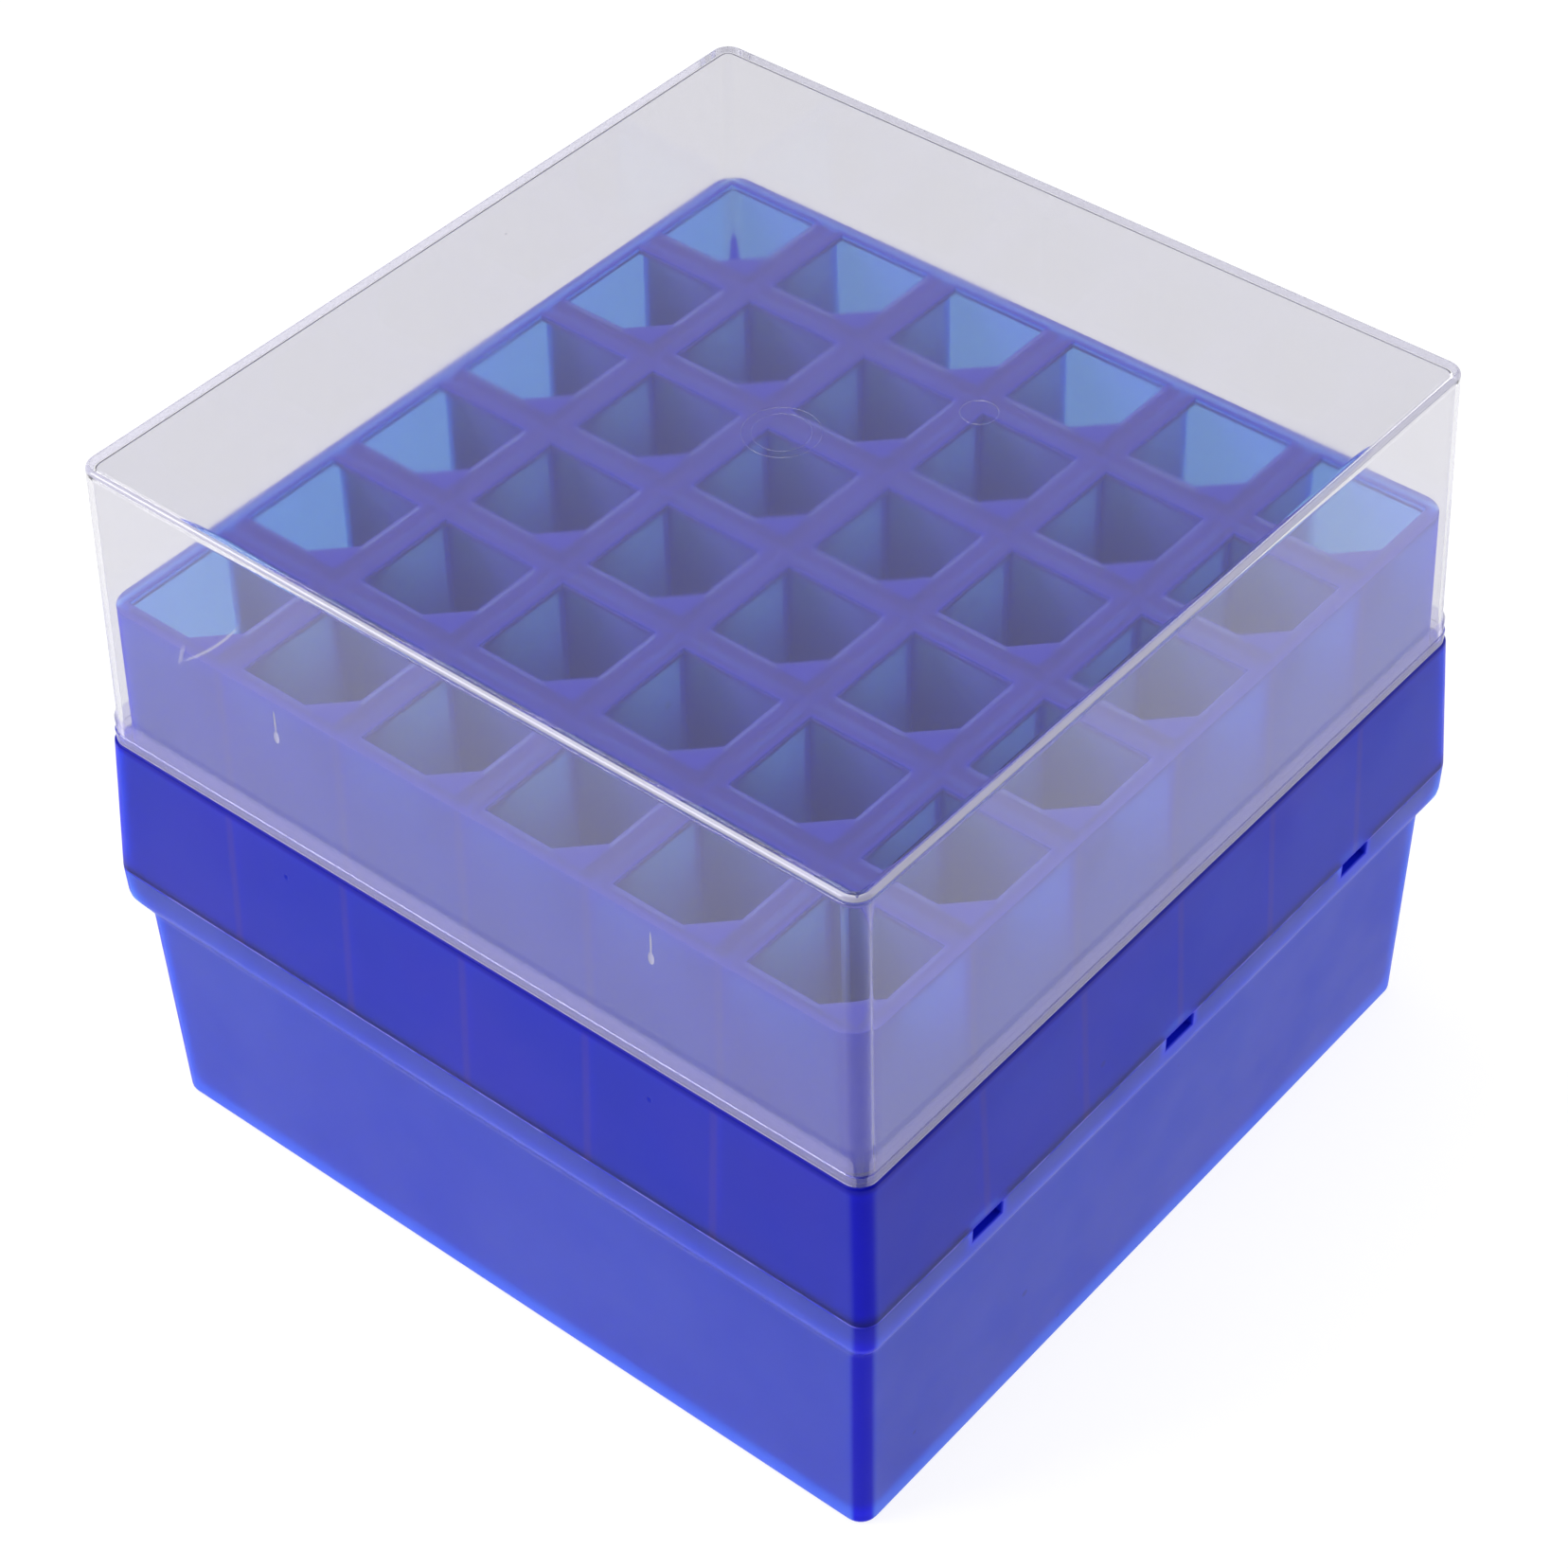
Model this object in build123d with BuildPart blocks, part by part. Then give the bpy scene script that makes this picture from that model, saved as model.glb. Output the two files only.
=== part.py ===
from build123d import *
import os

# A freezer box for conical centrifuge tubes: a tub-shaped base, a rack with square cells that stands
# on the base's rim, and a clear lid that rests on the rack's ledge.
# Frame: origin at the centre of the underside, +Z up. The cut corner of each cell points to +X, -Y.
# All dimensions are in millimetres.

# Heights above the underside
joint_height = 49.3        # the rack's band meets the base's rim
ledge_height = 74.6        # the lid rests here
deck_height = 99.8         # upper face of the rack's deck
box_height = 124.3         # upper face of the lid

# Widths of the rounded square outlines, across the flats
foot_width = 137.5         # underside of the base
waist_width = 138.9        # base wall just under its shoulder
shoulder_width = 143.2     # base wall just over its shoulder
joint_width = 143.5        # base rim and the foot of the rack's band
band_top_width = 140.5     # top of the rack's band
collar_foot_width = 136.4  # foot of the rack's collar, inside the lid
collar_top_width = 135.1   # top of the rack's collar
lip_width = 140.0          # bead along the lid's bottom edge
lip_step_width = 139.7     # wider strip of wall over the bead
lid_foot_width = 139.4     # lid wall over the lip
lid_top_width = 136.5      # top of the lid

# Radii of the upright corners and of the small roundings
corner_radius = 3.0
inner_corner_radius = 2.0
collar_corner_radius = 4.0
edge_rounding = 1.2
ledge_rounding = 0.5

# Walls
base_wall = 1.6
base_floor = 1.8
rim_wall = 1.7
rack_wall = 1.6
lid_wall = 1.1
lid_roof = 1.3

# Base
waist_height = 39.6
shoulder_height = 43.6
notch_length = 6.4
notch_depth = 2.5
notch_bite = 3.0           # more than the rim's wall, so that a notch goes right through it
notch_count = 3

# Rack
cells_per_side = 6
cell_pitch = 22.58
cell_opening = 17.3
corner_cut = 5.3           # leg of the deck's triangle across one corner of each cell
deck_thickness = 1.2
rib_thickness = 1.6
spigot_depth = 4.0         # how far the spigot reaches down inside the base's rim
spigot_root = 2.0          # height of the thicker wall that carries the spigot
spigot_wall = 1.3
spigot_clearance = 0.3

# Lid
bead_height = 1.8
lip_height = 4.2

os.makedirs("parts", exist_ok=True)


def rounded_stack(outline, radius):
    """A solid whose section is a rounded square, given as (height, width) pairs from bottom to top."""
    with BuildPart() as stack:
        for height, width in outline:
            with BuildSketch(Plane.XY.offset(height)):
                RectangleRounded(width, width, radius)
        loft(ruled=True)
    return stack.part


def width_between(height, low, high):
    """Width at a height on the straight wall between two (height, width) pairs."""
    share = (height - low[0]) / (high[0] - low[0])
    return low[1] + share * (high[1] - low[1])


# ---------------------------------------------------------------------------------------------------
# Base: an open tub with a wider rim over a sloping shoulder
# ---------------------------------------------------------------------------------------------------

base_foot = (0.0, foot_width)
base_waist = (waist_height, waist_width)
rim_inner_width = joint_width - 2 * rim_wall
floor_inner_width = width_between(base_floor, base_foot, base_waist) - 2 * base_wall
notch_spacing = 2 * cell_pitch    # in line with every other row of ribs

base_body = rounded_stack(
    [base_foot, base_waist, (shoulder_height, shoulder_width), (joint_height, joint_width)],
    corner_radius,
)
base_hollow = rounded_stack(
    [
        (base_floor, floor_inner_width),
        (waist_height + base_wall, waist_width - 2 * base_wall),
        (shoulder_height + base_wall / 2, rim_inner_width),
        (joint_height, rim_inner_width),
    ],
    inner_corner_radius,
)

with BuildPart() as base:
    add(base_body)
    fillet(base.edges().group_by(Axis.Z)[0], edge_rounding)
    add(base_hollow, mode=Mode.SUBTRACT)
    with BuildSketch(Plane.XY.offset(joint_height)):
        with GridLocations(joint_width - notch_bite, notch_spacing, 2, notch_count):
            Rectangle(notch_bite, notch_length)
    extrude(amount=-notch_depth, mode=Mode.SUBTRACT)

base.part.label = "base"
export_step(base.part, "parts/base.step")

# ---------------------------------------------------------------------------------------------------
# Rack shell: tapered band, ledge, collar, the deck's border and the spigot that fits inside the base
# ---------------------------------------------------------------------------------------------------

band_foot = (joint_height, joint_width)
band_top = (ledge_height, band_top_width)
collar_foot = (ledge_height, collar_foot_width)
collar_top = (deck_height, collar_top_width)
deck_underside = deck_height - deck_thickness
ledge_underside = ledge_height - rack_wall
root_height = joint_height + spigot_root
spigot_foot = joint_height - spigot_depth
spigot_outer_width = rim_inner_width - 2 * spigot_clearance
spigot_inner_width = spigot_outer_width - 2 * spigot_wall
grid_width = (cells_per_side - 1) * cell_pitch + cell_opening

band_body = rounded_stack([band_foot, band_top], corner_radius)
collar_body = rounded_stack([collar_foot, collar_top], collar_corner_radius)
band_hollow = rounded_stack(
    [
        (root_height, width_between(root_height, band_foot, band_top) - 2 * rack_wall),
        (ledge_underside, width_between(ledge_underside, band_foot, band_top) - 2 * rack_wall),
    ],
    inner_corner_radius,
)
collar_hollow = rounded_stack(
    [
        (ledge_underside, collar_foot_width - 2 * rack_wall),
        (deck_underside, width_between(deck_underside, collar_foot, collar_top) - 2 * rack_wall),
    ],
    collar_corner_radius - rack_wall,
)
deck_gap = rounded_stack([(deck_underside, grid_width), (deck_height, grid_width)], inner_corner_radius)

# The space inside the shell that the ribs and the deck's bars fill
with BuildPart() as rack_hollow:
    add(band_hollow)
    add(collar_hollow)
    add(deck_gap)

with BuildPart() as rack_shell:
    add(band_body)
    fillet(rack_shell.edges().group_by(Axis.Z)[-1], ledge_rounding)
    add(collar_body)
    with BuildSketch(Plane.XY.offset(spigot_foot)):
        RectangleRounded(spigot_outer_width, spigot_outer_width, inner_corner_radius)
    extrude(amount=spigot_depth)
    with BuildSketch(Plane.XY.offset(spigot_foot)):
        RectangleRounded(spigot_inner_width, spigot_inner_width, inner_corner_radius)
    extrude(amount=spigot_depth + spigot_root, mode=Mode.SUBTRACT)
    add(rack_hollow.part, mode=Mode.SUBTRACT)

rack_shell.part.label = "rack_shell"
export_step(rack_shell.part, "parts/rack_shell.step")

# ---------------------------------------------------------------------------------------------------
# Ribs: each is a thin partition under a wider bar of the deck. Row ribs run the full length along X,
# and column ribs are the short runs between them along Y.
# ---------------------------------------------------------------------------------------------------

rib_height = deck_underside - root_height
bar_width = cell_pitch - cell_opening
rib_lines = [(line - (cells_per_side - 2) / 2) * cell_pitch for line in range(cells_per_side - 1)]


def tee_bar(plane):
    """A full-length rib and its deck bar, square to the plane it is drawn on, before trimming."""
    with BuildPart() as bar:
        with BuildSketch(plane):
            with Locations((0, root_height)):
                Rectangle(rib_thickness, rib_height, align=(Align.CENTER, Align.MIN))
            with Locations((0, deck_underside)):
                Rectangle(bar_width, deck_thickness, align=(Align.CENTER, Align.MIN))
        extrude(amount=joint_width / 2, both=True)
    return bar.part


row_bars = [tee_bar(Plane(origin=(0, y, 0), x_dir=(0, 1, 0), z_dir=(1, 0, 0))) for y in rib_lines]
column_bars = [tee_bar(Plane(origin=(x, 0, 0), x_dir=(1, 0, 0), z_dir=(0, -1, 0))) for x in rib_lines]

for number, bar in enumerate(row_bars, start=1):
    with BuildPart() as row_rib:
        add(bar)
        add(rack_hollow.part, mode=Mode.INTERSECT)
    row_rib.part.label = f"rack_row_rib_{number}"
    export_step(row_rib.part, f"parts/rack_row_rib_{number}.step")

for number, bar in enumerate(column_bars, start=1):
    with BuildPart() as column_rib:
        add(bar)
        add(rack_hollow.part, mode=Mode.INTERSECT)
        add(row_bars, mode=Mode.SUBTRACT)
    column_rib.part.label = f"rack_column_rib_{number}"
    export_step(column_rib.part, f"parts/rack_column_rib_{number}.step")

# ---------------------------------------------------------------------------------------------------
# Corner webs: the deck's small triangle across one corner of every cell, which centres a round tube
# ---------------------------------------------------------------------------------------------------

with BuildPart() as corner_webs:
    with BuildSketch(Plane.XY.offset(deck_underside)):
        with GridLocations(cell_pitch, cell_pitch, cells_per_side, cells_per_side):
            with Locations((cell_opening / 2, -cell_opening / 2)):
                Polygon((0, 0), (0, corner_cut), (-corner_cut, 0), align=None)
    extrude(amount=deck_thickness)
    add(rack_hollow.part, mode=Mode.INTERSECT)

corner_webs.part.label = "rack_corner_webs"
export_step(corner_webs.part, "parts/rack_corner_webs.step")

# ---------------------------------------------------------------------------------------------------
# Lid: a deep tapered cover with a stepped lip
# ---------------------------------------------------------------------------------------------------

lid_foot = (ledge_height, lid_foot_width)
lid_top = (box_height, lid_top_width)
roof_underside = box_height - lid_roof
lid_body = rounded_stack([lid_foot, lid_top], corner_radius)
lid_hollow = rounded_stack(
    [
        (ledge_height, lid_foot_width - 2 * lid_wall),
        (roof_underside, width_between(roof_underside, lid_foot, lid_top) - 2 * lid_wall),
    ],
    corner_radius - lid_wall,
)

with BuildPart() as lid:
    add(lid_body)
    fillet(lid.edges().group_by(Axis.Z)[-1], edge_rounding)
    for strip_width, strip_height in ((lip_width, bead_height), (lip_step_width, lip_height)):
        with BuildSketch(Plane.XY.offset(ledge_height)):
            RectangleRounded(strip_width, strip_width, corner_radius)
        extrude(amount=strip_height)
    add(lid_hollow, mode=Mode.SUBTRACT)

lid.part.label = "lid"
export_step(lid.part, "parts/lid.step")
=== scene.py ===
import math

import bmesh
import bpy
from mathutils import Matrix, Vector


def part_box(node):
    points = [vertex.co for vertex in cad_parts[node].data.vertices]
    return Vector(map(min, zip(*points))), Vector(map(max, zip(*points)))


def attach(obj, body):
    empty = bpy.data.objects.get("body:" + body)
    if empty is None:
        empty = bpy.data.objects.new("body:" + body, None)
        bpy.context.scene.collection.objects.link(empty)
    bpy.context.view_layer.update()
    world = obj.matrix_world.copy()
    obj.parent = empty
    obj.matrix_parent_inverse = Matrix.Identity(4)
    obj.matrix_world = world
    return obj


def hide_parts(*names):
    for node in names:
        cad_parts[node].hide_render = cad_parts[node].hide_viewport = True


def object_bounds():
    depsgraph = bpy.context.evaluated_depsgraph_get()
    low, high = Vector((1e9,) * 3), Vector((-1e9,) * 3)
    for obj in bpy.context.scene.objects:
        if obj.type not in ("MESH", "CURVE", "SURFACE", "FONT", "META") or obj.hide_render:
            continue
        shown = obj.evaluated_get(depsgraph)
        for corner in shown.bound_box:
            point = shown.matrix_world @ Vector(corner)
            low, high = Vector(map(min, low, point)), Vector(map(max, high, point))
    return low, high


# A freezer box for 36 conical tubes: a blue tub-shaped base, a blue rack of square cells that stands
# on its rim, and a clear lid over the rack. Lengths are in millimetres in the frame's own axes, and MM
# turns them into metres. The heights where pieces meet and end, and the widest widths of the base and
# the lid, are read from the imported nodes.

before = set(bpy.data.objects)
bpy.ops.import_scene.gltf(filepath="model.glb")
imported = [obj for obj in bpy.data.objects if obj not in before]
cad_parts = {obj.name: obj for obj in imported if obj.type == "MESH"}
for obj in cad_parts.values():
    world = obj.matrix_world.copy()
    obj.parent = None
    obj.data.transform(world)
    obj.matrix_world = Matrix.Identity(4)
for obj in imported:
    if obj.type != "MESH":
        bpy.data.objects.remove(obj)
cad_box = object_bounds()

MM = 0.001


def bottom_of(node):
    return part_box(node)[0].z / MM


def top_of(node):
    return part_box(node)[1].z / MM


def half_width_of(node):
    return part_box(node)[1].x / MM


# ---------------------------------------------------------------------------------------------------
# Dimensions
# ---------------------------------------------------------------------------------------------------

JOINT = top_of("base")                     # the rack's band meets the base's rim
LEDGE = bottom_of("lid")                   # the lid rests here
DECK = top_of("rack_shell")
TOP = top_of("lid")
SPIGOT_FOOT = bottom_of("rack_shell")
RIB_FOOT = bottom_of("rack_row_rib_1")
DECK_UNDER = bottom_of("rack_corner_webs")

# Half the width across the flats at each height
JOINT_HALF = half_width_of("base")
BEAD_HALF = half_width_of("lid")
FOOT_HALF = 68.75
WAIST_HALF = 69.45
SHOULDER_HALF = 71.6
BAND_TOP_HALF = 70.25
COLLAR_FOOT_HALF = 68.2
COLLAR_TOP_HALF = 67.55
LIP_HALF = 69.85
LID_FOOT_HALF = 69.7
LID_TOP_HALF = 68.25

WAIST = 39.6
SHOULDER = 43.6
CORNER = 3.0
COLLAR_CORNER = 4.0
INNER_CORNER = 2.0

BASE_WALL = 1.6
BASE_FLOOR = 1.8
RIM_WALL = 1.7
RACK_WALL = 1.6
LID_WALL = 1.1
LID_ROOF = 1.3
SPIGOT_GAP = 0.3
SPIGOT_WALL = 1.3

ROUNDING = 1.2             # along the base's foot
LID_ROUNDING = 0.8         # along the lid's top
LEDGE_ROUNDING = 0.5
ROOF_FILLET = 0.9          # inside the lid, where the roof meets the walls
FLOOR_FILLET = 1.5         # inside the base
BROKEN_EDGE = 0.12
WORN_RIM = 0.26            # the base's edges are more worn
SHARP = math.radians(28)   # edges turned by more than this are broken

BEND = 0.9                 # the waist and the shoulder bend over this height each way
BEND_SAG = 0.12            # the bends cut their sharp corners by this much
WAIST_LIFT = 0.25          # the waist's narrowest loop is this much higher than its corner
SHOULDER_DROP = 0.1
SHOULDER_BULGE = 0.03

CELLS = 6
PITCH = 22.58
OPENING = 17.3
CORNER_CUT = 5.3
RIB = 1.6
SLOPE = 0.4                # the ledge's underside slopes this much inside the rack

NOTCH_LENGTH = 6.4
NOTCH_DEPTH = 2.5
NOTCH_REACH = 2.4          # inward from the rim's outside, through its wall
NOTCH_SPACING = 2 * PITCH
BEAD = 1.8
BEAD_SLOPE = 0.1
LIP = 4.2
LIP_SLOPE = 1.1            # the lip fades into the wall over this height

ARC_STEPS = 8              # strips round an upright corner
ROUND_STEPS = 5            # strips round a rounded edge

PIP_SIDE = 34.0            # pips stand this far each side of the middle
BAND_PIP_HEIGHT = 68.6
LID_PIP_HEIGHT = 93.9
PIP_DEPTH = 0.22           # the collar is 0.3 mm away from the lid's wall
LID_PIP = (0.55, PIP_DEPTH, 1.1)
LID_PIP_TAIL = (0.16, PIP_DEPTH, 2.4)
TAIL_RISE = 2.6            # a pip's tail is centred this much above it
BAND_DIMPLE = (0.6, 0.62, 0.7)
DIMPLE_STANDOFF = 0.35     # its middle is this far outside the band


# ---------------------------------------------------------------------------------------------------
# Loops. A loop is a rounded rectangle at one height: four (corner points, side points) pairs,
# anticlockwise from the corner at +X, +Y. Side points are extra ones on the side after the corner.
# ---------------------------------------------------------------------------------------------------


def corner_arc(x, y, quarter, radius, z):
    """Points round the corner whose sharp place is x, y."""
    if not radius:
        return [(x, y, z)]
    middle_x = x - radius if quarter in (0, 3) else x + radius
    middle_y = y - radius if quarter in (0, 1) else y + radius
    angles = [math.pi / 2 * (quarter + step / ARC_STEPS) for step in range(ARC_STEPS + 1)]
    return [(middle_x + radius * math.cos(a), middle_y + radius * math.sin(a), z) for a in angles]


def rectangle(low_x, high_x, low_y, high_y, z, radii=(0, 0, 0, 0), marks=()):
    """A loop with its own radius at each corner. Marks are places where the sides get extra points."""
    places = ((high_x, high_y), (low_x, high_y), (low_x, low_y), (high_x, low_y))
    sides = (
        [(-mark, high_y, z) for mark in marks],
        [(low_x, -mark, z) for mark in marks],
        [(mark, low_y, z) for mark in marks],
        [(high_x, mark, z) for mark in marks],
    )
    corners = [corner_arc(x, y, quarter, radii[quarter], z) for quarter, (x, y) in enumerate(places)]
    return list(zip(corners, sides))


def square(half, radius, z, marks=()):
    """A rounded square about the box's axis."""
    return rectangle(-half, half, -half, half, z, (radius,) * 4, marks)


def taper(z, low, high):
    """Half width at height z on a straight wall between two (height, half width) pairs."""
    return low[1] + (high[1] - low[1]) * (z - low[0]) / (high[0] - low[0])


def rounded_top(half, z, corner, radius):
    """Loops over a rounded edge, from the wall under it to the flat top at z."""
    loops = []
    for step in range(ROUND_STEPS + 1):
        angle = math.pi / 2 * step / ROUND_STEPS
        inset = radius * (1 - math.cos(angle))
        loops.append(square(half - inset, corner - inset, z - radius * (1 - math.sin(angle))))
    return loops


def rounded_foot(half, z, corner, radius):
    """Loops over a rounded edge, from the flat bottom at z to the wall over it."""
    loops = []
    for step in range(ROUND_STEPS + 1):
        angle = math.pi / 2 * step / ROUND_STEPS
        inset = radius * (1 - math.sin(angle))
        loops.append(square(half - inset, corner - inset, z + radius * (1 - math.cos(angle))))
    return loops


# ---------------------------------------------------------------------------------------------------
# Meshes
# ---------------------------------------------------------------------------------------------------


class Mould:
    """Collects faces by their corner points, and makes one closed mesh of them."""

    def __init__(self):
        self.mesh = bmesh.new()
        self.found = {}

    def vertex(self, point):
        key = tuple(round(value, 4) for value in point)
        if key not in self.found:
            self.found[key] = self.mesh.verts.new(Vector(point) * MM)
        return self.found[key]

    def face(self, points):
        """A face through these points, unless they shrink to a line."""
        corners = list(dict.fromkeys(self.vertex(point) for point in points))
        if len(corners) > 2:
            self.mesh.faces.new(corners)

    def skin(self, loops):
        """Joins each loop to the next, strip by strip round the corners and with one face per side."""
        for lower, upper in zip(loops, loops[1:]):
            for quarter in range(4):
                here, here_side = lower[quarter]
                there, there_side = upper[quarter]
                if len(here) == len(there):
                    for a, b, c, d in zip(here, here[1:], there[1:], there):
                        self.face((a, b, c, d))
                else:
                    self.face(here + there[::-1])
                after = (quarter + 1) % 4
                near = [here[-1], *here_side, lower[after][0][0]]
                far = [there[-1], *there_side, upper[after][0][0]]
                self.face(near + far[::-1])

    def cap(self, loop):
        self.face([point for corner, side in loop for point in corner + side])

    def piece(self, name, material):
        """Makes the object, smooth-shaded."""
        bmesh.ops.recalc_face_normals(self.mesh, faces=self.mesh.faces)
        data = bpy.data.meshes.new(name)
        self.mesh.to_mesh(data)
        self.mesh.free()
        data.materials.append(material)
        data.polygons.foreach_set("use_smooth", [True] * len(data.polygons))
        made = bpy.data.objects.new(name, data)
        bpy.context.scene.collection.objects.link(made)
        return made


def apply_modifiers(piece):
    """Replaces the piece's mesh by the one its modifiers give."""
    bpy.context.view_layer.update()
    done = piece.evaluated_get(bpy.context.evaluated_depsgraph_get())
    data = bpy.data.meshes.new_from_object(done)
    piece.modifiers.clear()
    piece.data = data


def break_edges(piece, width=BROKEN_EDGE):
    bevel = piece.modifiers.new("broken edges", "BEVEL")
    bevel.width = width * MM
    bevel.segments = 2
    bevel.limit_method = "ANGLE"
    bevel.angle_limit = SHARP
    apply_modifiers(piece)


def flatten_faces(piece):
    """Sets the shading normals so that flat faces look flat and only the roundings turn."""
    normals = piece.modifiers.new("flat faces", "WEIGHTED_NORMAL")
    normals.mode = "FACE_AREA"
    normals.weight = 100
    normals.thresh = 0.001
    apply_modifiers(piece)


def carve(piece, cutters, operation="DIFFERENCE"):
    """Cuts the cutters out of the piece, or joins them to it, and removes them."""
    for cutter in cutters:
        change = piece.modifiers.new("carve", "BOOLEAN")
        change.operation = operation
        change.solver = "EXACT"
        change.object = cutter
    apply_modifiers(piece)
    for cutter in cutters:
        bpy.data.objects.remove(cutter)


def tool(name, shape):
    """A cutter object from a bmesh in millimetres."""
    bmesh.ops.recalc_face_normals(shape, faces=shape.faces)
    shape.transform(Matrix.Scale(MM, 4))
    for face in shape.faces:
        face.smooth = True
    data = bpy.data.meshes.new(name)
    shape.to_mesh(data)
    shape.free()
    made = bpy.data.objects.new(name, data)
    bpy.context.scene.collection.objects.link(made)
    return made


def block(centre, size):
    shape = bmesh.new()
    bmesh.ops.create_cube(shape, size=1, matrix=Matrix.Translation(centre) @ Matrix.Diagonal((*size, 1)))
    return tool("block", shape)


def drop(centre, radii):
    """An ellipsoid."""
    shape = bmesh.new()
    place = Matrix.Translation(centre) @ Matrix.Diagonal((*radii, 1))
    bmesh.ops.create_uvsphere(shape, u_segments=16, v_segments=10, radius=1, matrix=place)
    return tool("drop", shape)


def ring(centre, radius, thickness):
    """A thin torus, flat in the lid's top."""
    around, across = 56, 8
    shape = bmesh.new()
    rows = []
    for i in range(around):
        turn = math.tau * i / around
        row = []
        for j in range(across):
            tilt = math.tau * j / across
            reach = radius + thickness * math.cos(tilt)
            row.append(shape.verts.new(Vector(centre) + Vector((
                reach * math.cos(turn),
                reach * math.sin(turn),
                thickness * math.sin(tilt),
            ))))
        rows.append(row)
    for i in range(around):
        for j in range(across):
            here, there = rows[i], rows[(i + 1) % around]
            shape.faces.new((here[j], there[j], there[(j + 1) % across], here[(j + 1) % across]))
    return tool("ring", shape)


# ---------------------------------------------------------------------------------------------------
# The base
# ---------------------------------------------------------------------------------------------------


def make_base(material):
    """An open tub whose wall steps out over a soft shoulder into a wider rim."""
    rim_inner = JOINT_HALF - RIM_WALL
    inner_wall = [(0.0, FOOT_HALF - BASE_WALL), (WAIST, WAIST_HALF - BASE_WALL)]
    waist = (WAIST, WAIST_HALF)
    shoulder = (SHOULDER, SHOULDER_HALF)
    foot = (0.0, FOOT_HALF)
    outside = rounded_foot(taper(ROUNDING, foot, waist), 0.0, CORNER, ROUNDING) + [
        square(taper(WAIST - BEND, foot, waist), CORNER, WAIST - BEND),
        square(WAIST_HALF + BEND_SAG, CORNER, WAIST + WAIST_LIFT),
        square(taper(WAIST + BEND, waist, shoulder), CORNER, WAIST + BEND),
        square(taper(SHOULDER - BEND, waist, shoulder), CORNER, SHOULDER - BEND),
        square(SHOULDER_HALF - BEND_SAG, CORNER, SHOULDER - SHOULDER_DROP),
        square(SHOULDER_HALF + SHOULDER_BULGE, CORNER, SHOULDER + BEND),
        square(JOINT_HALF, CORNER, JOINT),
    ]
    inside = [
        square(rim_inner, INNER_CORNER, JOINT),
        square(rim_inner, INNER_CORNER, SHOULDER + BASE_WALL / 2),
        square(inner_wall[1][1], INNER_CORNER, WAIST + BASE_WALL),
    ]
    fillet_half = taper(BASE_FLOOR, *inner_wall)
    inside += rounded_foot(fillet_half, BASE_FLOOR, INNER_CORNER, FLOOR_FILLET)[::-1]
    mould = Mould()
    mould.skin(outside + inside)
    mould.cap(outside[0])
    mould.cap(inside[-1])
    base = mould.piece("base_tub", material)
    notch = (2 * NOTCH_REACH, NOTCH_LENGTH, 2 * NOTCH_DEPTH)
    notches = [
        block((side * JOINT_HALF, row * NOTCH_SPACING, JOINT), notch)
        for side in (-1, 1)
        for row in (-1, 0, 1)
    ]
    carve(base, notches)
    break_edges(base, WORN_RIM)
    flatten_faces(base)
    return base


# ---------------------------------------------------------------------------------------------------
# The rack
# ---------------------------------------------------------------------------------------------------

CENTRES = [(cell - (CELLS - 1) / 2) * PITCH for cell in range(CELLS)]
RIB_FACES = [
    (line - (CELLS - 2) / 2) * PITCH + side * RIB / 2
    for line in range(CELLS - 1)
    for side in (-1, 1)
]
OPENING_EDGES = [centre + side * OPENING / 2 for centre in CENTRES for side in (-1, 1)]
GRID_HALF = OPENING_EDGES[-1]

BAND = ((JOINT, JOINT_HALF), (LEDGE, BAND_TOP_HALF))
COLLAR = ((LEDGE, COLLAR_FOOT_HALF), (DECK, COLLAR_TOP_HALF))


def cell_limits(cell, wall):
    """The two faces between which a cell lies along one axis; wall stands in for the missing ribs."""
    faces = [-wall, *RIB_FACES, wall]
    return faces[2 * cell], faces[2 * cell + 1]


def cell_loop(column, row, z, wall, radius):
    """A cell's section at one height. A corner cell is rounded where the shell is."""
    last = CELLS - 1
    corners = ((last, last), (0, last), (0, 0), (last, 0))
    radii = [radius if (column, row) == corner else 0 for corner in corners]
    return rectangle(*cell_limits(column, wall), *cell_limits(row, wall), z, radii)


def opening_loop(column, row, z):
    """The deck's opening over a cell: a square with one corner cut across."""
    x, y, half = CENTRES[column], CENTRES[row], OPENING / 2
    loop = rectangle(x - half, x + half, y - half, y + half, z)
    loop[3] = ([(x + half - CORNER_CUT, y - half, z), (x + half, y - half + CORNER_CUT, z)], [])
    return loop


def add_cells(mould):
    """The inside faces of all cells, from the ribs' feet up through the deck."""
    ledge_under = LEDGE - RACK_WALL
    levels = [
        (RIB_FOOT, taper(RIB_FOOT, *BAND) - RACK_WALL, INNER_CORNER),
        (ledge_under - SLOPE, taper(ledge_under - SLOPE, *BAND) - RACK_WALL, INNER_CORNER),
        (ledge_under, taper(ledge_under, *COLLAR) - RACK_WALL, COLLAR_CORNER - RACK_WALL),
        (DECK_UNDER, taper(DECK_UNDER, *COLLAR) - RACK_WALL, COLLAR_CORNER - RACK_WALL),
    ]
    for column in range(CELLS):
        for row in range(CELLS):
            walls = [cell_loop(column, row, z, wall, radius) for z, wall, radius in levels]
            mould.skin(walls + [opening_loop(column, row, z) for z in (DECK_UNDER, DECK)])


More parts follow.
